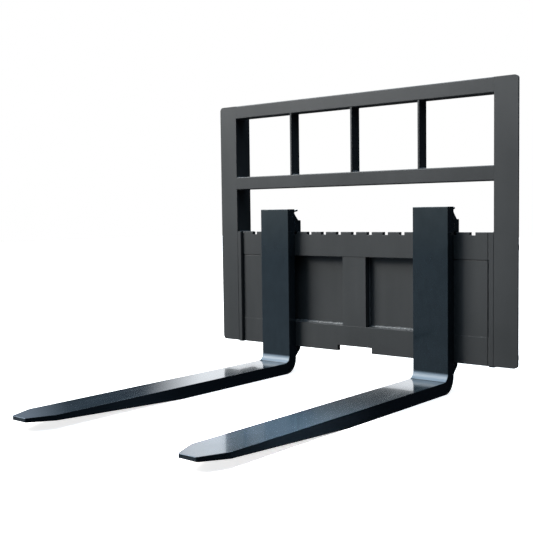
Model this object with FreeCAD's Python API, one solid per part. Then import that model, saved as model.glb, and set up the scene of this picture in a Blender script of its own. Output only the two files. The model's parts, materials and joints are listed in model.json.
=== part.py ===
"""Pallet fork attachment: an angle iron frame with a load guard, two hook-on forks and a quick coupler plate.

Millimetres. X runs to the right seen from in front of the fork tips, Y from the tips towards the machine and
Z up. While it is being built, Y = 0 is the front plane of the uprights and Z = 0 is their lower end. Every
piece is then moved so that the origin is the centre of the coupler plate's rear face.
"""
import FreeCAD, Part
import math
import os

V = FreeCAD.Vector

# Uprights: equal-leg angle, one leg facing forward and outward, the other leg running back
FRAME_WIDTH = 1171.0
FRAME_HEIGHT = 865.0
ANGLE_LEG = 76.5
ANGLE_WALL = 9.5
ANGLE_ROOT_RADIUS = 8.0
ANGLE_TOE_RADIUS = 4.0
UPRIGHT_CORNER_RADIUS = 14.0

# Rails and guard bars between the uprights
RAIL_DEPTH = 50.0
RAIL_WALL = 5.0
RAIL_EDGE_RADIUS = 3.0
TOP_RAIL_HEIGHT = 46.0
MIDDLE_RAIL_HEIGHT = 45.5
MIDDLE_RAIL_RISE = 154.9
GUARD_BAR_COUNT = 3
GUARD_BAR_WIDTH = 6.4
GUARD_BAR_DEPTH = 45.0

# Carriage: two hook bars of the 407 mm high class, end plates and the plates between the bars
CARRIAGE_HEIGHT = 407.0
CARRIAGE_BOTTOM = -2.4
CARRIAGE_SETBACK = 10.5
BAR_THICKNESS = 25.5
LIP_THICKNESS = 15.5
LIP_HEIGHT = 26.5
UPPER_BAR_HEIGHT = 83.6
LOWER_BAR_HEIGHT = 87.4
BAR_EDGE = 1.5
END_PLATE_THICKNESS = 16.0
END_PLATE_EDGE = 1.5
END_PLATE_DROP = 3.5
END_PLATE_TOE = 3.5
WELD_PREP = 3.0
NOTCH_PITCH = 62.05
NOTCH_DEPTH = 9.6
NOTCH_END_MARGIN = 50.0
REMOVAL_NOTCH_CLEARANCE = 15.0
REMOVAL_NOTCH_HEIGHT = 19.4
CENTRE_POST_WIDTH = 92.0
CENTRE_POST_SETBACK = 1.0
SIDE_PANEL_WIDTH = 163.0
SIDE_PANEL_SETBACK = 1.0

# Structure behind the carriage
BACK_PANEL_THICKNESS = 8.0
BACK_PANEL_LAP = 45.0
CROSS_MEMBER_HEIGHT = 46.0
CROSS_MEMBER_WALL = 5.0
CROSS_MEMBER_RADIUS = 5.0
RIB_COUNT = 4
RIB_THICKNESS = 10.0
RIB_PITCH = 220.0

# Quick coupler plate, lip and feet
COUPLER_THICKNESS = 9.5
COUPLER_OVERHANG = 20.0
COUPLER_TOP_DROP = 12.6
COUPLER_BOTTOM_RISE = 14.4
LIP_REACH = 30.0
LIP_ANGLE = 45.0
FOOT_REACH = 30.0
FOOT_ANGLE = 30.0
FOOT_TOP_RISE = 24.0
FOOT_LENGTH = 226.0
WEDGE_SLOT_LENGTH = 76.0
WEDGE_SLOT_WIDTH = 19.0
GUSSET_THICKNESS = 8.0
FOOT_GUSSET_HEIGHT = 60.0

# Forks
FORK_WIDTH = 122.0
FORK_THICKNESS = 38.1
BLADE_THICKNESS = 38.75
BLADE_LENGTH = 1084.0
FORK_GAP = 0.3
FORK_TOP_RISE = 79.4
BLADE_DROP = 54.85
TIP_THICKNESS = 11.5
TIP_EDGE_RADIUS = 1.2
TIP_CORNER_RADIUS = 6.0
TIP_SHOULDER_RADIUS = 14.0
TIP_CHAMFER_WIDTH = 32.0
TIP_CHAMFER_LENGTH = 77.0
TAPER_START = 542.0
TAPER_END = 997.0
TAPER_END_THICKNESS = 16.0
TAPER_BLEND_RADIUS = 200.0
OUTER_HEEL_RADIUS = 52.0
INNER_HEEL_RADIUS = 25.0
SHANK_TOP_RADIUS = 1.0
FORK_PITCHES_FROM_CENTRE = 5

# Fork hooks
HOOK_BACK_REACH = 19.0
HOOK_LIP_GAP = 1.0
HOOK_TOP_GAP = 1.9
UPPER_HOOK_THICKNESS = 38.5
UPPER_HOOK_LEG = 26.5
UPPER_HOOK_FLARE = 22.0
FLARE_RADIUS = 6.0
HOOK_EDGE_RADIUS = 3.0
LOWER_HOOK_GAP = 1.6
LOWER_HOOK_LEG_DEPTH = 9.0
LOWER_HOOK_LEG_RISE = 14.0
LOWER_HOOK_BACK = 11.0
LOWER_HOOK_FRONT = 34.0

# Fork latch: spring loaded pin raised by a cam handle; at rest the pin is up and the fork is free to slide
PIN_DIAMETER = 12.0
PIN_STEM_STEP = 1.0
PIN_COLLAR_STEP = 2.0
PIN_COLLAR_HEIGHT = 3.0
PIN_TIP_CHAMFER = 1.5
PIN_CLEARANCE = 0.05
PIN_REST_RISE = 3.0
PIN_TRAVEL = 11.0
PIN_FLOOR_GAP = 0.5
NOTCH_SIDE_GAP = 3.75
COUNTERBORE_GAP = 0.5
COUNTERBORE_WALL = 1.3
GUIDE_BORE_LENGTH = 9.5
CAP_PLUG_LENGTH = 4.0
CAP_FLANGE_THICKNESS = 6.0
CAP_FLANGE_STEP = 6.5
CAP_POCKET_GAP = 0.3
CAM_LOW_HEIGHT = 8.0
CAM_RANGE_DEG = 75.0
CAM_CLEARANCE = 0.2
CAM_STEPS = 12
CHEEK_THICKNESS = 6.0
CHEEK_GAP = 0.4
CHEEK_CORNER = 3.0
HANDLE_WIDTH = 90.0
HANDLE_THICKNESS = 6.0
HANDLE_REACH = 30.0
HANDLE_EYE_GAP = 0.8
HANDLE_RISE = 13.0
HANDLE_SLOPE = 4.0
HANDLE_EDGE_RADIUS = 1.5
PIVOT_DIAMETER = 5.0
PIVOT_OVERHANG = 1.0
EYE_WALL = 3.5
SPRING_WIRE = 1.4
SPRING_COILS = 3.5
SPRING_ARCS_PER_COIL = 8
SPRING_END_GAP = 0.05

# Places worked out from the sizes above
UPRIGHT_INNER_X = FRAME_WIDTH / 2 - ANGLE_LEG
WEB_OUTER_X = UPRIGHT_INNER_X + ANGLE_WALL
CARRIAGE_HALF = UPRIGHT_INNER_X - END_PLATE_THICKNESS
CARRIAGE_TOP = CARRIAGE_BOTTOM + CARRIAGE_HEIGHT
MIDDLE_RAIL_BOTTOM = CARRIAGE_TOP + MIDDLE_RAIL_RISE
UPPER_BAR_BOTTOM = CARRIAGE_TOP - UPPER_BAR_HEIGHT
LOWER_BAR_TOP = CARRIAGE_BOTTOM + LOWER_BAR_HEIGHT
BAR_BACK = CARRIAGE_SETBACK + BAR_THICKNESS
LIP_BACK = CARRIAGE_SETBACK + LIP_THICKNESS
PANEL_BACK = BAR_BACK + BACK_PANEL_THICKNESS
PANEL_BOTTOM = LOWER_BAR_TOP - BACK_PANEL_LAP
PANEL_TOP = UPPER_BAR_BOTTOM + BACK_PANEL_LAP
COUPLER_FRONT = ANGLE_LEG
COUPLER_BACK = COUPLER_FRONT + COUPLER_THICKNESS
COUPLER_HALF = WEB_OUTER_X + COUPLER_OVERHANG
COUPLER_TOP = CARRIAGE_TOP - COUPLER_TOP_DROP
COUPLER_BOTTOM = CARRIAGE_BOTTOM + COUPLER_BOTTOM_RISE
ORIGIN = V(0, COUPLER_BACK, (COUPLER_TOP + COUPLER_BOTTOM) / 2)

SHANK_BACK = CARRIAGE_SETBACK - FORK_GAP
SHANK_FRONT = SHANK_BACK - FORK_THICKNESS
TIP_Y = SHANK_FRONT - BLADE_LENGTH
BLADE_TOP = CARRIAGE_BOTTOM - BLADE_DROP
BLADE_BOTTOM = BLADE_TOP - BLADE_THICKNESS
FORK_TOP = CARRIAGE_TOP + FORK_TOP_RISE
FORK_X = FORK_PITCHES_FROM_CENTRE * NOTCH_PITCH

HOOK_UNDERSIDE = CARRIAGE_TOP + HOOK_TOP_GAP
HOOK_TOP = HOOK_UNDERSIDE + UPPER_HOOK_THICKNESS
HOOK_LEG_FRONT = LIP_BACK + HOOK_LIP_GAP
HOOK_BACK = HOOK_LEG_FRONT + HOOK_BACK_REACH

PIN_RADIUS = PIN_DIAMETER / 2
STEM_RADIUS = PIN_RADIUS - PIN_STEM_STEP
EYE_RADIUS = PIVOT_DIAMETER / 2 + EYE_WALL
HANDLE_START = EYE_RADIUS + HANDLE_EYE_GAP
COLLAR_RADIUS = PIN_RADIUS + PIN_COLLAR_STEP
COUNTERBORE_RADIUS = COLLAR_RADIUS + COUNTERBORE_GAP
CAP_FLANGE_RADIUS = COUNTERBORE_RADIUS + CAP_FLANGE_STEP
NOTCH_WIDTH = PIN_DIAMETER + 2 * NOTCH_SIDE_GAP
LATCH_Y = SHANK_BACK + COUNTERBORE_WALL + COUNTERBORE_RADIUS
PIN_BOTTOM = CARRIAGE_TOP + PIN_REST_RISE
COUNTERBORE_FLOOR = HOOK_UNDERSIDE + GUIDE_BORE_LENGTH
CAP_UNDERSIDE = HOOK_TOP - CAP_PLUG_LENGTH
CAP_TOP = HOOK_TOP + CAP_FLANGE_THICKNESS
COLLAR_BOTTOM = COUNTERBORE_FLOOR + PIN_FLOOR_GAP + PIN_TRAVEL
COLLAR_TOP = COLLAR_BOTTOM + PIN_COLLAR_HEIGHT
CAM_HIGH_HEIGHT = CAM_LOW_HEIGHT + PIN_TRAVEL
PIVOT_Z = CAP_TOP + CAM_HIGH_HEIGHT


def box(x, y, z):
    """Box between the (low, high) pairs of each axis."""
    return Part.makeBox(x[1] - x[0], y[1] - y[0], z[1] - z[0], V(x[0], y[0], z[0]))


def rod(radius, low, high, x, y):
    """Upright cylinder between two heights."""
    return Part.makeCylinder(radius, high - low, V(x, y, low))


def cross_rod(radius, low, high, y, z):
    """Cylinder along X between two places."""
    return Part.makeCylinder(radius, high - low, V(low, y, z), V(1, 0, 0))


def in_yz(x):
    return lambda y, z: V(x, y, z)


def in_xz(y):
    return lambda x, z: V(x, y, z)


def in_xy(z):
    return lambda x, y: V(x, y, z)


def outline(corners, plane):
    """Closed face through (u, v, radius) corners; a corner with a radius becomes an arc."""
    places = [V(u, v, 0) for u, v, _ in corners]
    edges = []
    last_end = None
    first_start = None
    for i, (_, _, radius) in enumerate(corners):
        corner = places[i]
        back = (places[i - 1] - corner).normalize()
        ahead = (places[(i + 1) % len(places)] - corner).normalize()
        half_angle = back.getAngle(ahead) / 2
        if radius > 0:
            reach = radius / math.tan(half_angle)
            bisector = (back + ahead).normalize()
            centre = corner + bisector * (radius / math.sin(half_angle))
            start, end = corner + back * reach, corner + ahead * reach
            middle = centre - bisector * radius
        else:
            start = end = corner
        if last_end is None:
            first_start = start
        else:
            edges.append(Part.makeLine(plane(last_end.x, last_end.y), plane(start.x, start.y)))
        if radius > 0:
            edges.append(Part.Arc(*[plane(p.x, p.y) for p in (start, middle, end)]).toShape())
        last_end = end
    edges.append(Part.makeLine(plane(last_end.x, last_end.y), plane(first_start.x, first_start.y)))
    return Part.Face(Part.Wire(edges))


def bar_along_x(corners, low, high):
    """Section in (y, z) carried along X."""
    return outline(corners, in_yz(low)).extrude(V(high - low, 0, 0))


def mirrored(shape):
    return shape.mirror(V(0, 0, 0), V(1, 0, 0))


def shifted(shape, x):
    copy = shape.copy()
    copy.translate(V(x, 0, 0))
    return copy


def upright():
    """Right-hand upright: its front leg faces forward and outward, its web runs back at the inner edge."""
    inner, outer = UPRIGHT_INNER_X, UPRIGHT_INNER_X + ANGLE_LEG
    section = outline([
        (inner, 0, 0),
        (outer, 0, 0),
        (outer, ANGLE_WALL, ANGLE_TOE_RADIUS),
        (WEB_OUTER_X, ANGLE_WALL, ANGLE_ROOT_RADIUS),
        (WEB_OUTER_X, ANGLE_LEG, ANGLE_TOE_RADIUS),
        (inner, ANGLE_LEG, 0),
    ], in_xy(0))
    angle = section.extrude(V(0, 0, FRAME_HEIGHT))
    trim = outline([
        (inner - 1, 0, 0),
        (outer, 0, UPRIGHT_CORNER_RADIUS),
        (outer, FRAME_HEIGHT, UPRIGHT_CORNER_RADIUS),
        (inner - 1, FRAME_HEIGHT, 0),
    ], in_xz(-1)).extrude(V(0, ANGLE_LEG + 2, 0))
    return angle.common(trim)


def tube_along_x(y, z, wall, radius, half_length):
    """Rectangular tube between the (low, high) pairs of Y and Z."""
    def section(inset, corner):
        return bar_along_x([
            (y[0] + inset, z[0] + inset, corner), (y[1] - inset, z[0] + inset, corner),
            (y[1] - inset, z[1] - inset, corner), (y[0] + inset, z[1] - inset, corner),
        ], -half_length, half_length)
    return section(0, radius).cut(section(wall, radius / 2))


def rail(bottom, height):
    return tube_along_x((0, RAIL_DEPTH), (bottom, bottom + height),
                        RAIL_WALL, RAIL_EDGE_RADIUS, UPRIGHT_INNER_X)


def guard_bar(x):
    """Flat bar on edge between the middle rail and the top rail."""
    return box((x - GUARD_BAR_WIDTH / 2, x + GUARD_BAR_WIDTH / 2), (0, GUARD_BAR_DEPTH),
               (MIDDLE_RAIL_BOTTOM + MIDDLE_RAIL_HEIGHT, FRAME_HEIGHT - TOP_RAIL_HEIGHT))


def front_edge_bevel(x, side, y, size, z):
    """Cutter that bevels the upright front edge at (x, y), on the side +1 or -1 of a piece."""
    return outline([
        (x - side * (size + 1), y - 1, 0), (x + side, y + size + 1, 0), (x + side, y - 1, 0),
    ], in_xy(z[0])).extrude(V(0, 0, z[1] - z[0]))


def end_plate():
    """Right-hand end plate, with a bevelled toe below the uprights."""
    bottom = -END_PLATE_DROP
    height = (bottom, CARRIAGE_TOP)
    plate = bar_along_x([
        (0, bottom + END_PLATE_TOE, 0), (0, CARRIAGE_TOP, 0), (COUPLER_FRONT, CARRIAGE_TOP, 0),
        (COUPLER_FRONT, bottom, 0), (END_PLATE_TOE, bottom, 0),
    ], CARRIAGE_HALF, UPRIGHT_INNER_X)
    plate = plate.cut(front_edge_bevel(UPRIGHT_INNER_X, 1, 0, END_PLATE_EDGE, height))
    return plate.cut(front_edge_bevel(CARRIAGE_HALF, -1, 0, END_PLATE_EDGE, height))


def hook_bar(edge, inner, lip_end):
    """Carriage bar with its lip: edge is the lip's free edge, inner the other edge, lip_end the lip's root.

    Its front edges are bevelled at both ends for the weld to the end plates.
    """
    bar = bar_along_x([
        (CARRIAGE_SETBACK, inner, 0),
        (CARRIAGE_SETBACK, edge, BAR_EDGE),
        (LIP_BACK, edge, BAR_EDGE),
        (LIP_BACK, lip_end, 0),
        (BAR_BACK, lip_end, BAR_EDGE),
        (BAR_BACK, inner, 0),
    ], -CARRIAGE_HALF, CARRIAGE_HALF)
    for side in (-1, 1):
        bar = bar.cut(front_edge_bevel(side * CARRIAGE_HALF, side, CARRIAGE_SETBACK, WELD_PREP,
                                       (min(edge, inner), max(edge, inner))))
    return bar


def upper_carriage_bar():
    bar = hook_bar(CARRIAGE_TOP, UPPER_BAR_BOTTOM, CARRIAGE_TOP - LIP_HEIGHT)
    each_side = int((CARRIAGE_HALF - NOTCH_END_MARGIN) / NOTCH_PITCH)
    for step in range(-each_side, each_side + 1):
        x = step * NOTCH_PITCH
        bar = bar.cut(box((x - NOTCH_WIDTH / 2, x + NOTCH_WIDTH / 2), (CARRIAGE_SETBACK - 1, BAR_BACK + 1),
                          (CARRIAGE_TOP - NOTCH_DEPTH, CARRIAGE_TOP + 1)))
    return bar


def lower_carriage_bar():
    bar = hook_bar(CARRIAGE_BOTTOM, LOWER_BAR_TOP, CARRIAGE_BOTTOM + LIP_HEIGHT)
    half_notch = (FORK_WIDTH + REMOVAL_NOTCH_CLEARANCE) / 2
    return bar.cut(box((-half_notch, half_notch), (CARRIAGE_SETBACK - 1, LIP_BACK),
                       (CARRIAGE_BOTTOM - 1, CARRIAGE_BOTTOM + REMOVAL_NOTCH_HEIGHT)))


def centre_post():
    """Post that fills the height between the carriage bars."""
    return box((-CENTRE_POST_WIDTH / 2, CENTRE_POST_WIDTH / 2),
               (CARRIAGE_SETBACK + CENTRE_POST_SETBACK, BAR_BACK), (LOWER_BAR_TOP, UPPER_BAR_BOTTOM))


def side_panel():
    """Right-hand panel, bevelled for its welds to the end plate and to the upper bar."""
    front = CARRIAGE_SETBACK + SIDE_PANEL_SETBACK
    panel = bar_along_x([
        (front, LOWER_BAR_TOP, 0), (front, UPPER_BAR_BOTTOM - WELD_PREP, 0),
        (front + WELD_PREP, UPPER_BAR_BOTTOM, 0), (BAR_BACK, UPPER_BAR_BOTTOM, 0),
        (BAR_BACK, LOWER_BAR_TOP, 0),
    ], CARRIAGE_HALF - SIDE_PANEL_WIDTH, CARRIAGE_HALF)
    return panel.cut(front_edge_bevel(CARRIAGE_HALF, 1, front, WELD_PREP, (LOWER_BAR_TOP, UPPER_BAR_BOTTOM)))


def back_panel():
    return box((-CARRIAGE_HALF, CARRIAGE_HALF), (BAR_BACK, PANEL_BACK), (PANEL_BOTTOM, PANEL_TOP))


def cross_member(bottom):
    return tube_along_x((PANEL_BACK, COUPLER_FRONT), (bottom, bottom + CROSS_MEMBER_HEIGHT),
                        CROSS_MEMBER_WALL, CROSS_MEMBER_RADIUS, CARRIAGE_HALF)


def rib(x):
    """Upright plate between the cross members, from the back panel to the coupler plate."""
    return box((x - RIB_THICKNESS / 2, x + RIB_THICKNESS / 2), (PANEL_BACK, COUPLER_FRONT),
               (PANEL_BOTTOM + CROSS_MEMBER_HEIGHT, PANEL_TOP - CROSS_MEMBER_HEIGHT))


def coupler_plate():
    return box((-COUPLER_HALF, COUPLER_HALF), (COUPLER_FRONT, COUPLER_BACK), (COUPLER_BOTTOM, COUPLER_TOP))


def sloped_flange(top, reach, angle, low, high):
    """Flange that leaves the coupler plate's rear face at a height and slopes down to the rear."""
    slope = math.tan(math.radians(angle))
    drop = COUPLER_THICKNESS / math.cos(math.radians(angle))
    far = COUPLER_BACK + reach
    return bar_along_x([
        (COUPLER_BACK, top, 0),
        (COUPLER_BACK, top - drop, 0),
        (far, top - drop - reach * slope, 0),
        (far, top - reach * slope, 0),
    ], low, high)


def coupler_lip():
    return sloped_flange(COUPLER_TOP, LIP_REACH, LIP_ANGLE, -COUPLER_HALF, COUPLER_HALF)


def foot_top():
    return COUPLER_BOTTOM + FOOT_TOP_RISE


def foot():
    """Right-hand foot with the slot that the machine's locking wedge drops through."""
    centre = COUPLER_HALF - FOOT_LENGTH / 2
    plate = sloped_flange(foot_top(), FOOT_REACH, FOOT_ANGLE, COUPLER_HALF - FOOT_LENGTH, COUPLER_HALF)
    slot_front = COUPLER_BACK + (FOOT_REACH - WEDGE_SLOT_WIDTH) / 2
    slot = box((centre - WEDGE_SLOT_LENGTH / 2, centre + WEDGE_SLOT_LENGTH / 2),
               (slot_front, slot_front + WEDGE_SLOT_WIDTH),
               (foot_top() - 2 * FOOT_REACH, foot_top()))
    return plate.cut(slot)


def lip_gusset():
    """Right-hand web that closes the end of the pocket under the lip."""
    drop = COUPLER_THICKNESS / math.cos(math.radians(LIP_ANGLE))
    fall = LIP_REACH * math.tan(math.radians(LIP_ANGLE))
    under = COUPLER_TOP - drop
    return bar_along_x([
        (COUPLER_BACK, under, 0), (COUPLER_BACK + LIP_REACH, under - fall, 0),
        (COUPLER_BACK, under - fall - LIP_REACH, 0),
    ], COUPLER_HALF - GUSSET_THICKNESS, COUPLER_HALF)


def foot_gusset():
    """Right-hand webs that stand on both ends of a foot."""
    fall = FOOT_REACH * math.tan(math.radians(FOOT_ANGLE))
    webs = []
    for low in (COUPLER_HALF - FOOT_LENGTH, COUPLER_HALF - GUSSET_THICKNESS):
        webs.append(bar_along_x([
            (COUPLER_BACK, foot_top(), 0), (COUPLER_BACK + FOOT_REACH, foot_top() - fall, 0),
            (COUPLER_BACK, foot_top() + FOOT_GUSSET_HEIGHT, 0),
        ], low, low + GUSSET_THICKNESS))
    return Part.makeCompound(webs)


def fork_arm():
    """Blade and shank forged as one bar, seen from the side, then pointed in plan."""
    half = FORK_WIDTH / 2
    side = bar_along_x([
        (TIP_Y, BLADE_TOP, TIP_EDGE_RADIUS),
        (TIP_Y, BLADE_TOP - TIP_THICKNESS, TIP_EDGE_RADIUS),
        (SHANK_FRONT - TAPER_END, BLADE_TOP - TAPER_END_THICKNESS, TAPER_BLEND_RADIUS),
        (SHANK_FRONT - TAPER_START, BLADE_BOTTOM, TAPER_BLEND_RADIUS),
        (SHANK_BACK, BLADE_BOTTOM, OUTER_HEEL_RADIUS),
        (SHANK_BACK, FORK_TOP, SHANK_TOP_RADIUS),
        (SHANK_FRONT, FORK_TOP, SHANK_TOP_RADIUS),
        (SHANK_FRONT, BLADE_TOP, INNER_HEEL_RADIUS),
    ], -half, half)
    shoulder = TIP_Y + TIP_CHAMFER_LENGTH
    point = half - TIP_CHAMFER_WIDTH
    plan = outline([
        (-half, shoulder, TIP_SHOULDER_RADIUS), (-point, TIP_Y, TIP_CORNER_RADIUS),
        (point, TIP_Y, TIP_CORNER_RADIUS), (half, shoulder, TIP_SHOULDER_RADIUS),
        (half, SHANK_BACK, 0), (-half, SHANK_BACK, 0),
    ], in_xy(BLADE_BOTTOM)).extrude(V(0, 0, FORK_TOP - BLADE_BOTTOM))
    return side.common(plan)


def latch_bore(radius, low, high):
    return rod(radius, low, high, 0, LATCH_Y)


def upper_hook():
    """Hook over the upper bar, flared where it joins the shank and bored for the latch."""
    half = FORK_WIDTH / 2
    leg_bottom = HOOK_UNDERSIDE - UPPER_HOOK_LEG
    body = bar_along_x([
        (SHANK_BACK, HOOK_TOP + UPPER_HOOK_FLARE, 0),
        (SHANK_BACK + UPPER_HOOK_FLARE, HOOK_TOP, FLARE_RADIUS),
        (HOOK_BACK, HOOK_TOP, HOOK_EDGE_RADIUS),
        (HOOK_BACK, leg_bottom, HOOK_EDGE_RADIUS),
        (HOOK_LEG_FRONT, leg_bottom, HOOK_EDGE_RADIUS),
        (HOOK_LEG_FRONT, HOOK_UNDERSIDE, 0),
        (SHANK_BACK, HOOK_UNDERSIDE, 0),
    ], -half, half)
    pocket_half = CAP_FLANGE_RADIUS + CAP_POCKET_GAP
    pocket = box((-pocket_half, pocket_half), (SHANK_BACK, LATCH_Y + pocket_half),
                 (HOOK_TOP, HOOK_TOP + UPPER_HOOK_FLARE + 1))
    guide = latch_bore(PIN_RADIUS + PIN_CLEARANCE, PIN_BOTTOM - PIN_TRAVEL, HOOK_TOP)
    counterbore = latch_bore(COUNTERBORE_RADIUS, COUNTERBORE_FLOOR, HOOK_TOP)
    return body.cut(pocket).cut(guide).cut(counterbore)


def lower_hook():
    """Hook up behind the lower bar's lip, with a chamfered lower corner."""
    half = FORK_WIDTH / 2
    top = CARRIAGE_BOTTOM - LOWER_HOOK_GAP
    return bar_along_x([
        (SHANK_BACK, top - LOWER_HOOK_FRONT, 0),
        (HOOK_LEG_FRONT + LOWER_HOOK_LEG_DEPTH, top - LOWER_HOOK_BACK, 0),
        (HOOK_LEG_FRONT + LOWER_HOOK_LEG_DEPTH, top + LOWER_HOOK_LEG_RISE, HOOK_EDGE_RADIUS),
        (HOOK_LEG_FRONT, top + LOWER_HOOK_LEG_RISE, HOOK_EDGE_RADIUS),
        (HOOK_LEG_FRONT, top, 0),
        (SHANK_BACK, top, 0),
    ], -half, half)


def latch_cap():
    """Cap that closes the spring chamber; its flange is cut flat beside the shank."""
    plug = latch_bore(COUNTERBORE_RADIUS, CAP_UNDERSIDE, HOOK_TOP)
    flange = latch_bore(CAP_FLANGE_RADIUS, HOOK_TOP, CAP_TOP)
    beside_shank = box((-CAP_FLANGE_RADIUS, CAP_FLANGE_RADIUS),
                       (LATCH_Y - CAP_FLANGE_RADIUS, SHANK_BACK + CAP_POCKET_GAP), (HOOK_TOP, CAP_TOP))
    bore = latch_bore(STEM_RADIUS + PIN_CLEARANCE, CAP_UNDERSIDE, CAP_TOP)
    return plug.fuse(flange.cut(beside_shank)).cut(bore).removeSplitter()


def latch_pin():
    """Lock pin with a collar for the spring and a stem that ends in an eye for the cross pin."""
    tip = Part.makeCone(PIN_RADIUS - PIN_TIP_CHAMFER, PIN_RADIUS, PIN_TIP_CHAMFER, V(0, LATCH_Y, PIN_BOTTOM))
    body = latch_bore(PIN_RADIUS, PIN_BOTTOM + PIN_TIP_CHAMFER, COLLAR_BOTTOM)
    collar = latch_bore(COLLAR_RADIUS, COLLAR_BOTTOM, COLLAR_TOP)
    stem = latch_bore(STEM_RADIUS, COLLAR_TOP, PIVOT_Z)
    eye_round = cross_rod(EYE_RADIUS, -STEM_RADIUS, STEM_RADIUS, LATCH_Y, PIVOT_Z)
    eye = latch_bore(STEM_RADIUS, PIVOT_Z, PIVOT_Z + EYE_RADIUS).common(eye_round)
    hole = cross_rod(PIVOT_DIAMETER / 2, -PIN_RADIUS, PIN_RADIUS, LATCH_Y, PIVOT_Z)
    return tip.multiFuse([body, collar, stem, eye]).cut(hole).removeSplitter()


def latch_spring():
    """Compression spring between the pin's collar and the cap."""
    radius = COLLAR_RADIUS - SPRING_WIRE / 2 - SPRING_END_GAP
    low = COLLAR_TOP + SPRING_WIRE / 2 + SPRING_END_GAP
    height = CAP_UNDERSIDE - COLLAR_TOP - SPRING_WIRE - 2 * SPRING_END_GAP

    def along(share):
        angle = 2 * math.pi * SPRING_COILS * share
        return V(radius * math.cos(angle), LATCH_Y + radius * math.sin(angle), low + height * share)

    steps = round(SPRING_COILS * SPRING_ARCS_PER_COIL)
    arcs = [Part.Arc(along(i / steps), along((i + 0.5) / steps), along((i + 1) / steps)).toShape()
            for i in range(steps)]
    start = Part.makeCircle(SPRING_WIRE / 2, along(0), V(0, 2 * math.pi * SPRING_COILS * radius, height))
    return Part.Wire(arcs).makePipeShell([Part.Wire(start)], True, False)


def cam_point(turn):
    """Point of the cam's outline, about the cross pin, whose normal is turn radians below straight forward.

    The cam's height in that direction grows evenly with the turn, so the pin rises evenly too.
    """
    rate = PIN_TRAVEL / math.radians(CAM_RANGE_DEG)
    height = CAM_HIGH_HEIGHT - CAM_CLEARANCE - rate * (math.pi / 2 - turn)
    across = -height * math.cos(turn) + rate * math.sin(turn)
    up = -height * math.sin(turn) - rate * math.cos(turn)
    return across, up


def latch_handle():
    """Two cam cheeks beside the pin's stem, joined behind it by a flat handle."""
    low_turn = math.pi / 2 - math.radians(CAM_RANGE_DEG)
    turns = [low_turn + (math.pi / 2 - low_turn) * i / CAM_STEPS for i in range(CAM_STEPS + 1)]
    cam = [cam_point(turn) for turn in turns]
    rear_end = HANDLE_START + HANDLE_THICKNESS
    around = [(cam[-1][0] + CHEEK_CORNER, cam[-1][1] + CHEEK_CORNER), (rear_end, 0),
              (rear_end, HANDLE_RISE - HANDLE_SLOPE), (HANDLE_START, HANDLE_RISE - HANDLE_SLOPE),
              (CAM_LOW_HEIGHT / 3, CAM_LOW_HEIGHT),
              (-CAM_LOW_HEIGHT / 3, CAM_LOW_HEIGHT), (1 - CAM_LOW_HEIGHT, CAM_LOW_HEIGHT / 3)]
    cheek_corners = [(LATCH_Y + y, PIVOT_Z + z, 0) for y, z in cam + around]
    inner = STEM_RADIUS + CHEEK_GAP
    cheeks = [bar_along_x(cheek_corners, inner, inner + CHEEK_THICKNESS),
              bar_along_x(cheek_corners, -inner - CHEEK_THICKNESS, -inner)]
    front, rear = LATCH_Y + HANDLE_START, LATCH_Y + HANDLE_REACH
    top = PIVOT_Z + HANDLE_RISE
    plate = bar_along_x([
        (front, top - HANDLE_SLOPE, 0), (rear, top, HANDLE_EDGE_RADIUS),
        (rear, top - HANDLE_THICKNESS, HANDLE_EDGE_RADIUS), (front, top - HANDLE_SLOPE - HANDLE_THICKNESS, 0),
    ], -HANDLE_WIDTH / 2, HANDLE_WIDTH / 2)
    handle = plate.multiFuse(cheeks).removeSplitter()
    bore = cross_rod(PIVOT_DIAMETER / 2 + PIN_CLEARANCE, -HANDLE_WIDTH, HANDLE_WIDTH, LATCH_Y, PIVOT_Z)
    return handle.cut(bore)


def latch_cross_pin():
    reach = STEM_RADIUS + CHEEK_GAP + CHEEK_THICKNESS + PIVOT_OVERHANG
    return cross_rod(PIVOT_DIAMETER / 2, -reach, reach, LATCH_Y, PIVOT_Z)


def build():
    """All the pieces by name, where they stand at rest."""
    pieces = {
        "top_rail": rail(FRAME_HEIGHT - TOP_RAIL_HEIGHT, TOP_RAIL_HEIGHT),
        "middle_rail": rail(MIDDLE_RAIL_BOTTOM, MIDDLE_RAIL_HEIGHT),
        "upper_carriage_bar": upper_carriage_bar(),
        "lower_carriage_bar": lower_carriage_bar(),
        "centre_post": centre_post(),
        "back_panel": back_panel(),
        "upper_cross_member": cross_member(PANEL_TOP - CROSS_MEMBER_HEIGHT),
        "lower_cross_member": cross_member(PANEL_BOTTOM),
        "coupler_plate": coupler_plate(),
        "coupler_lip": coupler_lip(),
    }
    bar_gap = 2 * UPRIGHT_INNER_X / (GUARD_BAR_COUNT + 1)
    for i in range(GUARD_BAR_COUNT):
        pieces[f"guard_bar_{i + 1}"] = guard_bar(-UPRIGHT_INNER_X + (i + 1) * bar_gap)
    for i in range(RIB_COUNT):
        pieces[f"rib_{i + 1}"] = rib((i - (RIB_COUNT - 1) / 2) * RIB_PITCH)
    paired = {
        "upright": upright(),
        "end_plate": end_plate(),
        "side_panel": side_panel(),
        "coupler_foot": foot(),
        "lip_gusset": lip_gusset(),
        "foot_gussets": foot_gusset(),
    }
    for name, shape in paired.items():
        pieces[name + "_right"] = shape
        pieces[name + "_left"] = mirrored(shape)
    fork_pieces = {
        "fork_arm": fork_arm(),
        "upper_hook": upper_hook(),
        "lower_hook": lower_hook(),
        "latch_cap": latch_cap(),
        "latch_pin": latch_pin(),
        "latch_spring": latch_spring(),
        "latch_handle": latch_handle(),
        "latch_cross_pin": latch_cross_pin(),
    }
    for name, shape in fork_pieces.items():
        pieces[name + "_right"] = shifted(shape, FORK_X)
        pieces[name + "_left"] = shifted(shape, -FORK_X)
    return pieces


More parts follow.
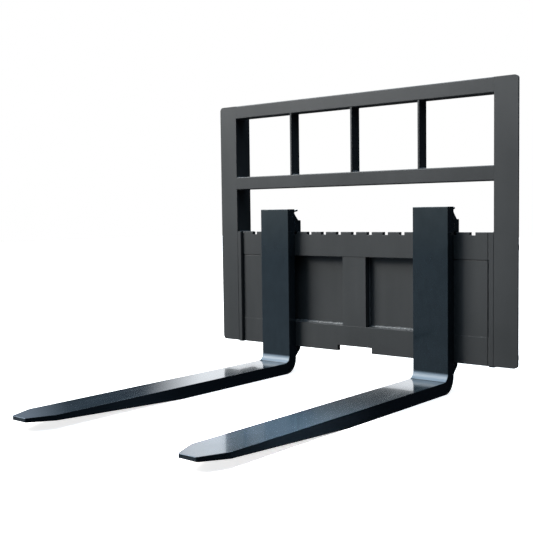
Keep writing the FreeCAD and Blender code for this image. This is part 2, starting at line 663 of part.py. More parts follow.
os.makedirs("parts", exist_ok=True)
for name, shape in build().items():
    shape.translate(-ORIGIN)
    shape.exportStep(f"parts/{name}.step")
    print(f"{name}: {len(shape.Solids)} solid, {shape.Volume / 1000:.1f} cm3, valid {shape.isValid()}")
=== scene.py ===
"""Looks of the pallet fork attachment: paint, plating, weld beads and a plain studio."""
import json
import math

import bpy
from mathutils import Matrix, Vector


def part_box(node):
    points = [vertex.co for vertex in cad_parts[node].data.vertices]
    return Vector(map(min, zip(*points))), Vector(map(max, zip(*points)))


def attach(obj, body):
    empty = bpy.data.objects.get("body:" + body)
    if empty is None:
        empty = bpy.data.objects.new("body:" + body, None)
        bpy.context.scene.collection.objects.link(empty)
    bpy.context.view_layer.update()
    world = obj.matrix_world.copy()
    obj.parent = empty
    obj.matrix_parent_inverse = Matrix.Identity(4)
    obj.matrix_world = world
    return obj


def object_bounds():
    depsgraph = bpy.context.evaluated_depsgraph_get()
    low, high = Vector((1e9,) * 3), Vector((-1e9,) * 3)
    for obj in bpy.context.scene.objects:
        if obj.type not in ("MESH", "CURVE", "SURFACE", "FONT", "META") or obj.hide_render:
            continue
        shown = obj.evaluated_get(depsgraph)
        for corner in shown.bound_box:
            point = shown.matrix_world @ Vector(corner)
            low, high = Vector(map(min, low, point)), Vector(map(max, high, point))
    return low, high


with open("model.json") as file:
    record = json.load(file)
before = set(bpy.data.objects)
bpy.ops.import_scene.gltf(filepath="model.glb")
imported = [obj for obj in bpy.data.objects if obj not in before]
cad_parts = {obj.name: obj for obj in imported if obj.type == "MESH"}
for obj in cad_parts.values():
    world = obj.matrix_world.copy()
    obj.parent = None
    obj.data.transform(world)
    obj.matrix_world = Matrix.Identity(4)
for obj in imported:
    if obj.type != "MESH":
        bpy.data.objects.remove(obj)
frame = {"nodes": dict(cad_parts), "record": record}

bl_info = {
    "name": "Pallet Fork Finish",
    "version": (1, 0, 0),
    "blender": (4, 5, 0),
    "location": "View3D > Sidebar > Forks",
    "description": "Paints and welds a pallet fork attachment and sets it in a plain studio",
    "category": "Object",
}

MM = 0.001
CAD_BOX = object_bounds()
SIDES = ("left", "right")
FORK_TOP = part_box("fork_arm_left")[1][2]

# Widths of weld beads
SILL_BEAD = 13 * MM
GUARD_FOOT_BEAD = 9 * MM
HEAVY_BEAD = 8 * MM
FILLET_BEAD = 7 * MM
SEAM_BEAD = 6 * MM
LIGHT_BEAD = 5 * MM
GUSSET_BEAD = 4 * MM
PANEL_BEAD = 3 * MM
# Width of the dark bead of painted shadow at the right-hand end plate
SHADOW_LINE_WIDTH = 2.4 * MM

# How far beads start or stop from the edges of what they join
BEAD_STOP = 4 * MM
PLATE_BEAD_INSET = 9 * MM
# How far the painted shadow line stands in from the right-hand end plate
SHADOW_LINE_SETBACK = 8.5 * MM
RAIL_BEAD_STOP = 5 * MM
BAR_BEAD_SETBACK = 2 * MM
COUPLER_BEAD_OFFSET = 10 * MM
WEB_BEAD_STOP = 12 * MM
HOOK_BEAD_INSET = 0.5 * MM
UPPER_HOOK_BEAD_LENGTH = 55 * MM
LOWER_HOOK_BEAD_STOP = 16 * MM
HANDLE_CLEARANCE = 7 * MM

# Studio
CAMERA_FROM_FRONT = Vector((1.675, -2.4855, 0.470))
CAMERA_YAW = math.radians(39.473)
CAMERA_PITCH = math.radians(-3.403)
CAMERA_ROLL = math.radians(-0.766)
SENSOR_WIDTH = 36.0
BLADE_LIGHT_SPREAD = math.radians(26)
WARM_WHITE = (1.0, 0.99, 0.97)
SKY_BLUE = (0.62, 0.80, 1.0)
PALE_BLUE = (0.82, 0.86, 1.0)
DARK_ROOM = (0.010, 0.012, 0.016, 1.0)
FRONT_GLOW = (0.22, 0.27, 0.33, 1.0)
END_GLOW = (0.30, 0.36, 0.45, 1.0)
BACKDROP = (1.68, 1.72, 1.76, 1.0)
BACKDROP_TOP = (0.30, 0.45, 0.66, 1.0)
OVERHEAD = (0.40, 0.62, 0.90, 1.0)
BRIGHT_DOME = (2.4, 2.8, 3.2, 1.0)


# ---------------------------------------------------------------- node building

class Value:
    """A node's output, on which arithmetic adds Math nodes."""

    def __init__(self, nodes, socket):
        self.nodes = nodes
        self.socket = socket

    def math(self, operation, *values):
        return self.nodes.add("ShaderNodeMath", {"operation": operation}, dict(enumerate(values)))["Value"]

    def __add__(self, other):
        return self.math("ADD", self, other)

    def __radd__(self, other):
        return self.math("ADD", other, self)

    def __sub__(self, other):
        return self.math("SUBTRACT", self, other)

    def __rsub__(self, other):
        return self.math("SUBTRACT", other, self)

    def __mul__(self, other):
        return self.math("MULTIPLY", self, other)

    def __rmul__(self, other):
        return self.math("MULTIPLY", other, self)

    def __truediv__(self, other):
        return self.math("DIVIDE", self, other)

    def __rtruediv__(self, other):
        return self.math("DIVIDE", other, self)

    def sine(self):
        return self.math("SINE", self)

    def least(self, other):
        return self.math("MINIMUM", self, other)

    def between(self, low, high):
        """0 at low, 1 at high and straight between, held at 0 and 1 beyond."""
        node = self.nodes.add("ShaderNodeMapRange", {"clamp": True},
                              {"Value": self, "From Min": low, "From Max": high})
        return node["Result"]


class Added:
    """A node that has been added; its outputs are read by name."""

    def __init__(self, nodes, node):
        self.nodes = nodes
        self.node = node

    def __getitem__(self, name):
        return Value(self.nodes, self.node.outputs[name])


class Nodes:
    """Adds nodes to a tree from a type, its settings and its sockets' values or links."""

    def __init__(self, tree):
        self.tree = tree

    def add(self, kind, settings=None, sockets=None):
        node = self.tree.nodes.new(kind)
        for name, value in (settings or {}).items():
            setattr(node, name, value)
        for name, value in (sockets or {}).items():
            if isinstance(value, Value):
                self.tree.links.new(value.socket, node.inputs[name])
            else:
                node.inputs[name].default_value = value
        return Added(self, node)

    def mix(self, amount, low, high):
        """Colour between low and high."""
        node = self.add("ShaderNodeMix", {"data_type": "RGBA"}, {0: amount, 6: low, 7: high})
        return Value(self, node.node.outputs[2])

    def noise(self, place, scale, detail=2.0, roughness=0.5):
        return self.add("ShaderNodeTexNoise", None, {
            "Vector": place, "Scale": scale, "Detail": detail, "Roughness": roughness})["Fac"]

    def stretched(self, place, scale):
        return self.add("ShaderNodeMapping", None, {"Vector": place, "Scale": scale})["Vector"]

    def object_place(self):
        return self.add("ShaderNodeTexCoord")["Object"]


def rgba(colour, factor=1.0):
    return tuple(min(1.0, part * factor) for part in colour[:3]) + (1.0,)


def new_material(name):
    """Empty material and its Nodes."""
    material = bpy.data.materials.new(name)
    material.use_nodes = True
    material.node_tree.nodes.clear()
    return material, Nodes(material.node_tree)


def finish_material(nodes, sockets):
    shader = nodes.add("ShaderNodeBsdfPrincipled", None, sockets)
    nodes.add("ShaderNodeOutputMaterial", None, {"Surface": shader["BSDF"]})


def bumped(nodes, height, distance, strength=1.0, edge=0.0):
    """Normal with a bump over it, on edges rounded by a small radius."""
    sockets = {"Height": height, "Distance": distance, "Strength": strength}
    if edge:
        sockets["Normal"] = nodes.add("ShaderNodeBevel", {"samples": 6}, {"Radius": edge})["Normal"]
    return nodes.add("ShaderNodeBump", None, sockets)["Normal"]


def facing(nodes):
    """How far a face looks forward, and how far it looks up."""
    normal = nodes.add("ShaderNodeNewGeometry")["Normal"]
    split = nodes.add("ShaderNodeSeparateXYZ", None, {"Vector": normal})
    return split["Y"] * -1.0, split["Z"]


def up_facing(nodes):
    """1 on faces that look up, 0 on walls."""
    return facing(nodes)[1].between(0.6, 0.95)


def heel_highlight_band(nodes):
    """1 on bends between a wall that looks forward and a top that looks up; masks the painted highlight in
    the heel.
    """
    forward, upward = facing(nodes)
    return upward.between(0.04, 0.2) * forward.between(0.25, 0.45)


# ---------------------------------------------------------------- finishes

def powder_coat():
    """Satin charcoal powder coat, with orange peel, faint mottling and dust on ledges."""
    paint = bpy.context.scene.frame_paint
    material, nodes = new_material("powder_coat")
    place = nodes.object_place()
    cloud = nodes.noise(place, 3.2, 4.0, 0.55)
    streak = nodes.noise(nodes.stretched(place, (1.0, 1.0, 0.12)), 26.0, 3.0)
    grain = nodes.noise(place, 420.0, 2.0)
    tone = (cloud * 0.6 + streak * 0.25 + grain * 0.15).between(0.32, 0.68)
    colour = nodes.mix(tone, rgba(paint.colour, 0.82), rgba(paint.colour, 1.2))
    dust = up_facing(nodes) * nodes.noise(place, 55.0, 5.0, 0.7).between(0.45, 0.75) * 0.22
    colour = nodes.mix(dust, colour, rgba(paint.dust_colour))
    rough = paint.roughness - 0.07 + cloud * 0.08 + grain * 0.06 + dust * 0.3
    peel = nodes.noise(place, paint.peel_scale, 2.0, 0.6) + cloud * 2.0
    finish_material(nodes, {
        "Base Color": colour, "Roughness": rough, "Specular IOR Level": 0.45,
        "Normal": bumped(nodes, peel, 0.00025, 0.35, paint.edge_radius)})
    return material


def gloss_enamel():
    """Blue-black enamel over forged bar, dusty on top, with a painted highlight in the heel's fillet and
    painted light towards the top of the shank.
    """
    paint = bpy.context.scene.fork_paint
    material, nodes = new_material("gloss_enamel")
    place = nodes.object_place()
    wave = nodes.noise(nodes.stretched(place, (1.0, 0.45, 1.0)), 9.0, 2.0)
    rub = nodes.noise(nodes.stretched(place, (1.0, 0.3, 0.6)), 34.0, 5.0, 0.62)
    speck = nodes.noise(place, 640.0, 1.0).between(0.74, 0.8)
    colour = nodes.mix(rub.between(0.35, 0.7), rgba(paint.colour, 0.9), rgba(paint.colour, 1.12))
    dust = up_facing(nodes) * (0.004 + rub.between(0.52, 0.72) * 0.015 + speck * 0.3)
    # Painted highlight: the heel's fillet is mixed towards the pale colour, as if it reflected the bright
    # sky; the dust on top faces is real.
    dust = dust + heel_highlight_band(nodes) * (0.5 + wave.between(0.3, 0.7) * 0.2)
    colour = nodes.mix(dust, colour, rgba(paint.dust_colour))
    height = nodes.add("ShaderNodeSeparateXYZ", None, {"Vector": place})["Z"]
    # Painted light: lighter towards the top of the shank, as if the lamp above lit it more.
    shank_top_light = height.between(FORK_TOP - paint.shank_top_light_length, FORK_TOP) * (0.3 + wave * 0.5)
    colour = nodes.mix(shank_top_light, colour, rgba(paint.shank_top_light_colour))
    rough = paint.roughness + rub.between(0.4, 0.75) * 0.04 + dust * 0.5 + shank_top_light * 0.2
    coat = (0.35 + rub * 0.3) * (1.0 - (dust * 1.8).least(1.0))
    peel = nodes.noise(place, 260.0, 2.0) * 0.025 + wave
    finish_material(nodes, {
        "Base Color": colour, "Roughness": rough, "Specular IOR Level": 0.5,
        "Coat Weight": coat, "Coat Roughness": 0.05,
        "Normal": bumped(nodes, peel, 0.0006, 0.4, paint.edge_radius)})
    return material


def zinc_plate():
    """Zinc plated steel with a faint yellow cast and turned marks."""
    material, nodes = new_material("zinc_plate")
    place = nodes.object_place()
    turned = nodes.noise(nodes.stretched(place, (40.0, 40.0, 900.0)), 3.0, 2.0)
    cloud = nodes.noise(place, 180.0, 3.0)
    colour = nodes.mix(cloud.between(0.35, 0.65), (0.42, 0.40, 0.33, 1.0), (0.58, 0.57, 0.53, 1.0))
    finish_material(nodes, {
        "Base Color": colour, "Metallic": 1.0, "Roughness": 0.26 + turned * 0.18,
        "Normal": bumped(nodes, turned, 0.0001, 0.4, 0.0004)})
    return material


def oiled_spring():
    """Dark drawn spring wire under a film of oil."""
    material, nodes = new_material("oiled_spring")
    place = nodes.object_place()
    drawn = nodes.noise(place, 900.0, 3.0)
    colour = nodes.mix(drawn.between(0.3, 0.7), (0.05, 0.045, 0.04, 1.0), (0.16, 0.15, 0.14, 1.0))
    finish_material(nodes, {
        "Base Color": colour, "Metallic": 0.9, "Roughness": 0.22 + drawn * 0.2,
        "Normal": bumped(nodes, drawn, 0.00005, 0.5)})
    return material


def painted_weld(name, colour, roughness):
    """Paint over a rippled bead, mottled and pitted."""
    material, nodes = new_material(name)
    place = nodes.object_place()
    pits = nodes.noise(place, 380.0, 4.0, 0.65)
    tone = nodes.mix(pits.between(0.35, 0.65), rgba(colour, 0.8), rgba(colour, 1.5))
    finish_material(nodes, {
        "Base Color": tone, "Roughness": roughness + pits * 0.15, "Specular IOR Level": 0.55,
        "Normal": bumped(nodes, pits, 0.0004, 0.5)})
    return material


def paint_nodes(names, material):
    """Gives CAD nodes a finish."""
    for name in names:
        slots = frame["nodes"][name].data.materials
        slots.clear()
        slots.append(material)


def nodes_like(*stems):
    """Names of the CAD nodes that start with one of the stems."""
    return [name for name in frame["nodes"] if name.startswith(stems)]


# ---------------------------------------------------------------- weld beads

class BeadLine:
    """Straight weld bead from start to end, with its width."""

    def __init__(self, start, end, width):
        self.start = Vector(start)
        self.end = Vector(end)
        self.width = width


def mirrored_lines(lines):
    """The lines, and the same on the other side of the middle."""
    across = Vector((-1.0, 1.0, 1.0))
    return lines + [BeadLine(line.start * across, line.end * across, line.width) for line in lines]


def bead_tree(material):
    """Turns lines with a bead_width into rippled, slightly wandering beads."""
    tree = bpy.data.node_groups.new("weld_beads", "GeometryNodeTree")
    tree.interface.new_socket("Lines", in_out="INPUT", socket_type="NodeSocketGeometry")
    for name in ("Step", "Ripple", "Wander"):
        tree.interface.new_socket(name, in_out="INPUT", socket_type="NodeSocketFloat")
    tree.interface.new_socket("Seed", in_out="INPUT", socket_type="NodeSocketInt")
    tree.interface.new_socket("Beads", in_out="OUTPUT", socket_type="NodeSocketGeometry")
    nodes = Nodes(tree)
    given = nodes.add("NodeGroupInput")
    curve = nodes.add("GeometryNodeMeshToCurve", None, {"Mesh": given["Lines"]})
    points = nodes.add("GeometryNodeResampleCurve", {"mode": "LENGTH"},
                       {"Curve": curve["Curve"], "Length": given["Step"]})
    widths = nodes.add("GeometryNodeInputNamedAttribute", {"data_type": "FLOAT"}, {"Name": "bead_width"})
    width = widths["Attribute"]
    along = nodes.add("GeometryNodeSplineParameter")
    place = nodes.add("GeometryNodeInputPosition")["Position"]
    wobble = nodes.add("ShaderNodeTexNoise", {"noise_dimensions": "4D"}, {
        "Vector": place, "W": given["Seed"], "Scale": 75.0, "Detail": 2.0})
    ripple = (along["Length"] * (2 * math.pi) / given["Ripple"]).sine()
    near_start = (along["Length"] / width).between(0.0, 0.9)
    near_end = (along["Length"] * (1.0 / along["Factor"] - 1.0) / width).between(0.0, 0.9)
    taper = 0.35 + 0.65 * near_start.least(near_end)
    radius = width * 0.5 * taper * (0.5 + ripple * 0.08 + wobble["Fac"] * 1.0)
    sized = nodes.add("GeometryNodeSetCurveRadius", None, {"Curve": points["Curve"], "Radius": radius})
    centred = nodes.add("ShaderNodeVectorMath", {"operation": "SUBTRACT"},
                        {0: wobble["Color"], 1: (0.5, 0.5, 0.5)})
    reach = nodes.add("ShaderNodeVectorMath", {"operation": "SCALE"},
                      {0: centred["Vector"], "Scale": given["Wander"]})
    moved = nodes.add("GeometryNodeSetPosition", None,
                      {"Geometry": sized["Curve"], "Offset": reach["Vector"]})
    ring = nodes.add("GeometryNodeCurvePrimitiveCircle", None, {"Resolution": 8, "Radius": 1.0})
    size = nodes.add("GeometryNodeInputRadius")["Radius"]
    tube = nodes.add("GeometryNodeCurveToMesh", None, {
        "Curve": moved["Geometry"], "Profile Curve": ring["Curve"], "Scale": size, "Fill Caps": True})
    smooth = nodes.add("GeometryNodeSetShadeSmooth", None, {"Geometry": tube["Mesh"]})
    real = nodes.add("GeometryNodeRealizeInstances", None, {"Geometry": smooth["Geometry"]})
    painted = nodes.add("GeometryNodeSetMaterial", None,
                        {"Geometry": real["Geometry"], "Material": material})
    nodes.add("NodeGroupOutput", None, {"Beads": painted["Geometry"]})
    return tree


def line_mesh(name, lines):
    """Loose edges, one for each bead, with the bead's width on both ends."""
    mesh = bpy.data.meshes.new(name + "_lines")
    ends = [tuple(point) for line in lines for point in (line.start, line.end)]
    mesh.from_pydata(ends, [(2 * i, 2 * i + 1) for i in range(len(lines))], [])
    widths = mesh.attributes.new("bead_width", "FLOAT", "POINT")
    for i, line in enumerate(lines):
        widths.data[2 * i].value = line.width
        widths.data[2 * i + 1].value = line.width
    return mesh


def apply_tree(name, mesh, tree, values):
    """Runs a geometry tree over a mesh and keeps the result as a plain mesh object."""
    source = bpy.data.objects.new(name + "_source", mesh)
    bpy.context.scene.collection.objects.link(source)
    modifier = source.modifiers.new("tree", "NODES")
    modifier.node_group = tree
    for item in tree.interface.items_tree:
        if item.in_out == "INPUT" and item.name in values:
            modifier[item.identifier] = values[item.name]
    evaluated = source.evaluated_get(bpy.context.evaluated_depsgraph_get())
    result = bpy.data.meshes.new_from_object(evaluated)
    result.name = name
    bpy.data.objects.remove(source)
    piece = bpy.data.objects.new(name, result)
    bpy.context.scene.collection.objects.link(piece)
    return piece


def weld_piece(name, lines, body, tree):
    weld = bpy.context.scene.weld_bead
    piece = apply_tree(name, line_mesh(name, lines), tree, {
        "Step": weld.step, "Ripple": weld.ripple, "Wander": weld.wander, "Seed": weld.seed})
    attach(piece, body)
    return piece


def carriage_beads():
    """Beads on the carriage: round the windows, along the side panels and on the end plates."""
    low_bar, high_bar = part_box("lower_carriage_bar"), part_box("upper_carriage_bar")
    panel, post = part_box("back_panel"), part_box("centre_post")
    side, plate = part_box("side_panel_right"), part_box("end_plate_right")
    window_low, window_high = low_bar[1][2], high_bar[0][2]
    panel_y, side_y, bar_y = panel[0][1], side[0][1], low_bar[0][1]
    post_x, side_x = post[1][0], side[0][0]
    plate_x, upright_x, plate_top = plate[0][0], plate[1][0], plate[1][2]
    sunk_y = side_y + PANEL_BEAD / 2
    lines = [
        BeadLine((post_x, panel_y, window_low), (side_x, panel_y, window_low), SILL_BEAD),
        BeadLine((post_x, panel_y, window_high), (side_x, panel_y, window_high), HEAVY_BEAD),
        BeadLine((post_x, panel_y, window_low), (post_x, panel_y, window_high), FILLET_BEAD),
        BeadLine((side_x, panel_y, window_low), (side_x, panel_y, window_high), FILLET_BEAD),
        BeadLine((side_x, sunk_y, window_low), (plate_x, sunk_y, window_low), PANEL_BEAD),
        BeadLine((plate_x + PLATE_BEAD_INSET, bar_y, plate_top),
                 (upright_x, bar_y - BEAD_STOP, plate_top), HEAVY_BEAD),
        BeadLine((upright_x, bar_y, plate_top),
                 (upright_x, plate[1][1] - BEAD_STOP, plate_top), FILLET_BEAD),
        BeadLine((0.0, panel_y, panel[1][2]), (plate_x, panel_y, panel[1][2]), SEAM_BEAD),
        BeadLine((0.0, panel_y, panel[0][2]), (plate_x, panel_y, panel[0][2]), SEAM_BEAD),
    ]
    return mirrored_lines(lines)


def painted_shadow_lines():
    """Painted shadow: a near black bead down the joint between the carriage and the right-hand end plate."""
    bar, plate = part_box("lower_carriage_bar"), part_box("end_plate_right")
    x, y = plate[0][0] - SHADOW_LINE_SETBACK, bar[0][1]
    return [BeadLine((x, y, bar[0][2]), (x, y, plate[1][2]), SHADOW_LINE_WIDTH)]


def guard_beads():
    """Beads at the ends of the guard bars and of the two rails."""
    top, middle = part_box("top_rail"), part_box("middle_rail")
    front, rear, inner = top[0][1] + BEAD_STOP, top[1][1], top[1][0]
    lines = [BeadLine((inner, front, top[0][2]), (inner, rear, top[0][2]), SEAM_BEAD)]
    for height in (middle[0][2], middle[1][2]):
        lines.append(BeadLine((inner, front, height), (inner, rear, height), FILLET_BEAD))
    for rail in (top, middle):
        rail_stop = rail[1][2] - RAIL_BEAD_STOP
        lines.append(BeadLine((inner, rear, rail[0][2]), (inner, rear, rail_stop), SEAM_BEAD))
    lines = mirrored_lines(lines)
    for name in nodes_like("guard_bar"):
        low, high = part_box(name)
        start_y = low[1] + BAR_BEAD_SETBACK
        for x in (low[0], high[0]):
            lines.append(BeadLine((x, start_y, low[2]), (x, high[1], low[2]), GUARD_FOOT_BEAD))
            lines.append(BeadLine((x, start_y, high[2]), (x, high[1], high[2]), LIGHT_BEAD))
    return lines


def coupler_beads():
    """Beads behind: uprights to coupler plate, lip, feet and gussets."""
    plate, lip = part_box("coupler_plate"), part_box("coupler_lip")
    foot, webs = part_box("coupler_foot_right"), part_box("foot_gussets_right")
    gusset, end_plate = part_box("lip_gusset_right"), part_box("end_plate_right")
    front, rear = plate[0][1], plate[1][1]
    edge_x = end_plate[1][0] + COUPLER_BEAD_OFFSET
    web = gusset[1][0] - gusset[0][0]
    lines = [
        BeadLine((edge_x, front, plate[0][2]), (edge_x, front, plate[1][2]), SEAM_BEAD),
        BeadLine((foot[0][0], rear, foot[1][2]), (foot[1][0], rear, foot[1][2]), SEAM_BEAD),
        BeadLine((gusset[0][0], rear, gusset[0][2]), (gusset[0][0], rear, gusset[1][2]), GUSSET_BEAD),
        BeadLine((0.0, rear, gusset[1][2]), (lip[1][0] - web, rear, gusset[1][2]), SEAM_BEAD),
    ]
    for x in (foot[0][0], foot[0][0] + web, foot[1][0] - web):
        lines.append(BeadLine((x, rear, foot[1][2]), (x, rear, webs[1][2] - WEB_BEAD_STOP), GUSSET_BEAD))
    return mirrored_lines(lines)


def hook_beads(side):
    """Beads that join the hooks to the back of a fork's shank."""
    names = ("fork_arm", "upper_hook", "lower_hook", "latch_handle")
    arm, upper, lower, handle = (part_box(f"{name}_{side}") for name in names)
    back = upper[0][1]
    left, right = arm[0][0], arm[1][0]
    bottom, top = lower[0][2], upper[1][2]
    upper_end, lower_end = top - UPPER_HOOK_BEAD_LENGTH, lower[1][2] - LOWER_HOOK_BEAD_STOP
    lines = []
    for x in (left + HOOK_BEAD_INSET, right - HOOK_BEAD_INSET):
        lines.append(BeadLine((x, back, upper_end), (x, back, top), LIGHT_BEAD))
        lines.append(BeadLine((x, back, bottom), (x, back, lower_end), LIGHT_BEAD))
    before, after = handle[0][0] - HANDLE_CLEARANCE, handle[1][0] + HANDLE_CLEARANCE
    for start, end in ((left, before), (after, right)):
        lines.append(BeadLine((start, back, top), (end, back, top), FILLET_BEAD))
    lines.append(BeadLine((left, back, bottom), (right, back, bottom), FILLET_BEAD))
    return lines


# ---------------------------------------------------------------- settings

def colour_property(name, text, value):
    return bpy.props.FloatVectorProperty(
        name=name, description=text, subtype="COLOR", size=3, min=0.0, max=1.0, default=value)


def length_property(name, text, value):
    return bpy.props.FloatProperty(name=name, description=text, unit="LENGTH", default=value)


def power_property(name, text, value):
    return bpy.props.FloatProperty(name=name, description=text, unit="POWER", min=0.0, default=value)


def share_property(name, text, value):
    return bpy.props.FloatProperty(
        name=name, description=text, subtype="FACTOR", min=0.0, max=1.0, default=value)


class FramePaint(bpy.types.PropertyGroup):
    colour: colour_property("Colour", "Powder coat colour", (0.048, 0.0482, 0.0465))
    dust_colour: colour_property("Dust", "Colour of dust on ledges", (0.30, 0.30, 0.29))
    roughness: share_property("Roughness", "Dullness of the coat", 0.46)
    peel_scale: bpy.props.FloatProperty(name="Peel", description="Orange peel cells per metre", default=520.0)
    edge_radius: length_property("Edge", "Radius that the paint leaves on an edge", 0.0012)


class ForkPaint(bpy.types.PropertyGroup):
    colour: colour_property("Colour", "Enamel colour", (0.0150, 0.0228, 0.0276))
    # Painted light: the shanks are painted lighter towards their top; the next two settings give its colour
    # and how far down it reaches.
    shank_top_light_colour: colour_property("Shank top light", "Colour near the top of the shanks", (0.038, 0.046, 0.046))
    shank_top_light_length: length_property("Worn length", "How far down the shanks the wear reaches", 0.17)
    # Also the colour of the painted highlight in the heel's fillet.
    dust_colour: colour_property("Dust", "Colour of dust on the blades", (0.26, 0.33, 0.39))
    roughness: share_property("Roughness", "Dullness of the enamel", 0.13)
    edge_radius: length_property("Edge", "Radius of the forged edges", 0.0022)


class WeldBead(bpy.types.PropertyGroup):
    step: length_property("Step", "Distance between the bead's rings", 0.0013)
    ripple: length_property("Ripple", "Length of one ripple", 0.0052)
    wander: length_property("Wander", "How far a bead strays from its line", 0.0016)
    seed: bpy.props.IntProperty(name="Seed", description="Picks the irregularities", default=7)


class Studio(bpy.types.PropertyGroup):
    floor_size: length_property("Floor", "Side of the square floor", 30.0)
    key_power: power_property("Key", "Power of the front light", 330.0)
    top_power: power_property("Top", "Power of the light overhead", 120.0)
    blade_power: power_property("Blade", "Power of the light on the right-hand blade", 9.0)
    lens: bpy.props.FloatProperty(
        name="Lens", description="Focal length in millimetres", unit="CAMERA", default=60.14)


# ---------------------------------------------------------------- stage

def camera_matrix():
    """Camera pose: its place is given from the foot of the frame's front plane."""
    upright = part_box("upright_right")
    place = CAMERA_FROM_FRONT + Vector((0.0, upright[0][1], upright[0][2]))
    turn = Matrix.Rotation(CAMERA_YAW, 4, "Z") @ Matrix.Rotation(math.pi / 2 + CAMERA_PITCH, 4, "X")
    return Matrix.Translation(place) @ turn @ Matrix.Rotation(CAMERA_ROLL, 4, "Z")


def add_camera(lens):
    data = bpy.data.cameras.new("camera")
    data.lens = lens
    data.sensor_width = SENSOR_WIDTH
    camera = bpy.data.objects.new("camera", data)
    camera.matrix_world = camera_matrix()
    bpy.context.scene.collection.objects.link(camera)
    bpy.context.scene.camera = camera


def add_softbox(name, place, target, size, power, colour):
    data = bpy.data.lights.new(name, "AREA")
    data.shape = "RECTANGLE"
    data.size, data.size_y = size
    data.energy = power
    data.color = colour
    light = bpy.data.objects.new(name, data)
    aim = (Vector(target) - Vector(place)).to_track_quat("-Z", "Y")
    light.matrix_world = Matrix.Translation(place) @ aim.to_matrix().to_4x4()
    bpy.context.scene.collection.objects.link(light)
    return light


def add_floor(size):
    base = CAD_BOX[0][2]
    half = size / 2
    mesh = bpy.data.meshes.new("floor")
    corners = [(-half, -half, base), (half, -half, base), (half, half, base), (-half, half, base)]
    mesh.from_pydata(corners, [], [(0, 1, 2, 3)])
    floor = bpy.data.objects.new("floor", mesh)
    floor.visible_glossy = False
    floor.visible_diffuse = False
    bpy.context.scene.collection.objects.link(floor)
    material, nodes = new_material("pale_floor")
    reach = nodes.add("ShaderNodeVectorMath", {"operation": "LENGTH"}, {0: nodes.object_place()})
    glow = nodes.mix(reach["Value"].between(1.1, 3.2), (0.8, 0.8, 0.8, 1.0), (1.0, 1.0, 1.0, 1.0))
    finish_material(nodes, {"Base Color": (0.90, 0.82, 0.74, 1.0), "Roughness": 0.9,
                            "Emission Color": glow, "Emission Strength": 1.0})
    mesh.materials.append(material)


def build_world():
    """White to look at; for lighting, bright behind and to the left, dark to the right."""
    world = bpy.data.worlds.new("studio")
    world.use_nodes = True
    world.node_tree.nodes.clear()
    nodes = Nodes(world.node_tree)
    direction = nodes.add("ShaderNodeTexCoord")["Generated"]
    split = nodes.add("ShaderNodeSeparateXYZ", None, {"Vector": direction})
    leftward, upward, rearward = split["X"] * -1.0, split["Z"], split["Y"]
    ahead = 1.0 - rearward.between(-0.2, 0.3)
    glow = nodes.mix(ahead * leftward.between(-0.25, 0.75), DARK_ROOM, FRONT_GLOW)
    end_patch = rearward.between(0.3, 0.4) * (1.0 - rearward.between(0.562, 0.598))
    glow = nodes.mix(leftward.between(0.6, 0.7) * end_patch, glow, END_GLOW)
    opening = leftward.between(-0.1, 0.25) * (1.0 - leftward.between(0.682, 0.722))
    opening = opening * upward.between(-0.06, 0.02) * rearward.between(0.1, 0.4)
    backdrop = nodes.mix(upward.between(0.1, 0.7), BACKDROP, BACKDROP_TOP)
    glow = nodes.mix(opening, glow, backdrop)
    glow = nodes.mix(upward.between(0.45, 0.95) * 0.8, glow, OVERHEAD)
    dome = leftward.between(0.26, 0.42) * (1.0 - leftward.between(0.58, 0.72))
    glow = nodes.mix(dome * upward.between(0.2, 0.5), glow, BRIGHT_DOME)
    soft = nodes.add("ShaderNodeBackground", None, {"Color": glow, "Strength": 1.0})
    plain = nodes.add("ShaderNodeBackground", None, {"Color": (1.0, 1.0, 1.0, 1.0), "Strength": 1.0})
    seen = nodes.add("ShaderNodeLightPath")["Is Camera Ray"]
    both = nodes.add("ShaderNodeMixShader", None, {0: seen, 1: soft["Background"], 2: plain["Background"]})
    nodes.add("ShaderNodeOutputWorld", None, {"Surface": both["Shader"]})
    bpy.context.scene.world = world


# ---------------------------------------------------------------- operators

class PaintFrame(bpy.types.Operator):
    """Powder coats the uprights, rails, carriage and coupler"""
    bl_idname = "forks.paint_frame"
    bl_label = "Paint Frame"

    def execute(self, context):
        paint_nodes(frame["record"]["behaviour"]["bodies"]["frame"], powder_coat())
        return {"FINISHED"}


class PaintForks(bpy.types.Operator):
    """Enamels both forks with their hooks, latch caps and handles"""
    bl_idname = "forks.paint_forks"
    bl_label = "Paint Forks"

    def execute(self, context):
        enamelled = nodes_like("fork_arm", "upper_hook", "lower_hook", "latch_cap", "latch_handle")
        paint_nodes(enamelled, gloss_enamel())
        return {"FINISHED"}


class FinishLatches(bpy.types.Operator):
    """Plates the lock pins and cross pins and oils the springs"""
    bl_idname = "forks.finish_latches"
    bl_label = "Finish Latches"

    def execute(self, context):
        paint_nodes(nodes_like("latch_pin", "latch_cross_pin"), zinc_plate())
        paint_nodes(nodes_like("latch_spring"), oiled_spring())
        return {"FINISHED"}


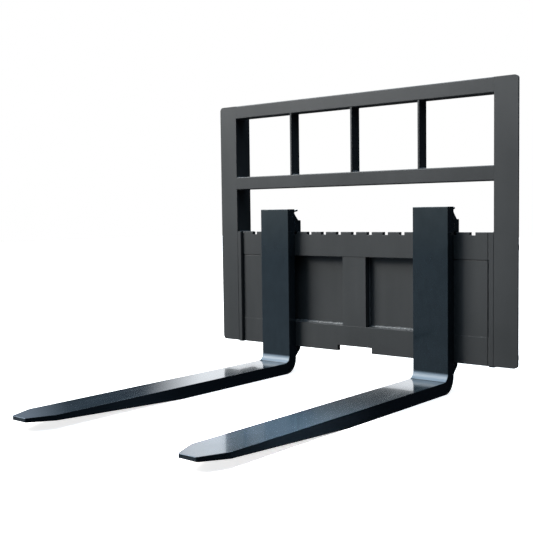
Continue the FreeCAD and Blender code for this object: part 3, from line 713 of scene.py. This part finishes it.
class WeldFrame(bpy.types.Operator):
    """Runs the weld beads of the carriage, the guard and the coupler, and a dark bead of painted shadow at
    the right-hand end plate
    """
    bl_idname = "forks.weld_frame"
    bl_label = "Weld Frame"

    def execute(self, context):
        colour = [part * 2.0 for part in context.scene.frame_paint.colour]
        coated = bead_tree(painted_weld("coated_bead", colour, 0.26))
        weld_piece("carriage_welds", carriage_beads(), "frame", coated)
        weld_piece("guard_welds", guard_beads(), "frame", coated)
        # Near black bead: painted shadow in the joint beside the right-hand end plate.
        colour = [part * 0.2 for part in context.scene.frame_paint.colour]
        shaded = bead_tree(painted_weld("shaded_bead", colour, 0.6))
        weld_piece("end_plate_painted_shadow", painted_shadow_lines(), "frame", shaded)
        weld_piece("coupler_welds", coupler_beads(), "frame", coated)
        return {"FINISHED"}


class WeldForks(bpy.types.Operator):
    """Runs the weld beads between each fork and its hooks"""
    bl_idname = "forks.weld_forks"
    bl_label = "Weld Forks"

    def execute(self, context):
        tree = bead_tree(painted_weld("enamelled_bead", context.scene.fork_paint.colour, 0.2))
        for side in SIDES:
            weld_piece(f"hook_welds_{side}", hook_beads(side), f"fork_{side}", tree)
        return {"FINISHED"}


class SetStage(bpy.types.Operator):
    """Adds the floor, the lights, the background and the camera"""
    bl_idname = "forks.set_stage"
    bl_label = "Set Stage"

    def execute(self, context):
        studio = context.scene.studio
        add_floor(studio.floor_size)
        build_world()
        add_softbox("front_light", (-3.1, -3.0, 3.3), (0.0, 0.0, 0.1), (2.4, 2.4),
                    studio.key_power, WARM_WHITE)
        top = add_softbox("top_light", (-0.4, -0.4, 3.4), (0.0, -0.4, 0.0), (3.0, 3.0),
                          studio.top_power, SKY_BLUE)
        beam = add_softbox("blade_light", (0.48, -0.86, 1.3), (0.37, -0.86, -0.26), (0.2, 0.8),
                           studio.blade_power, PALE_BLUE)
        beam.data.spread = BLADE_LIGHT_SPREAD
        for light in (top, beam):
            light.visible_glossy = False
        add_camera(studio.lens)
        context.scene.view_settings.view_transform = "Standard"
        return {"FINISHED"}


OPERATORS = (PaintFrame, PaintForks, FinishLatches, WeldFrame, WeldForks, SetStage)
SETTINGS = {"frame_paint": FramePaint, "fork_paint": ForkPaint, "weld_bead": WeldBead, "studio": Studio}


class ForksPanel(bpy.types.Panel):
    """Lists the steps and their settings"""
    bl_idname = "VIEW3D_PT_forks"
    bl_label = "Pallet Fork Finish"
    bl_space_type = "VIEW_3D"
    bl_region_type = "UI"
    bl_category = "Forks"

    def draw(self, context):
        for name, group in SETTINGS.items():
            box = self.layout.box()
            for field in group.__annotations__:
                box.prop(getattr(context.scene, name), field)
        for step in OPERATORS:
            self.layout.operator(step.bl_idname)


def register():
    for group in (*SETTINGS.values(), *OPERATORS, ForksPanel):
        bpy.utils.register_class(group)
    for name, group in SETTINGS.items():
        setattr(bpy.types.Scene, name, bpy.props.PointerProperty(type=group))


def unregister():
    for name in SETTINGS:
        delattr(bpy.types.Scene, name)
    for group in (ForksPanel, *reversed(OPERATORS), *SETTINGS.values()):
        bpy.utils.unregister_class(group)


def main():
    register()
    bpy.ops.forks.paint_frame()
    bpy.ops.forks.paint_forks()
    bpy.ops.forks.finish_latches()
    bpy.ops.forks.weld_frame()
    bpy.ops.forks.weld_forks()
    bpy.ops.forks.set_stage()


if __name__ == "__main__":
    main()
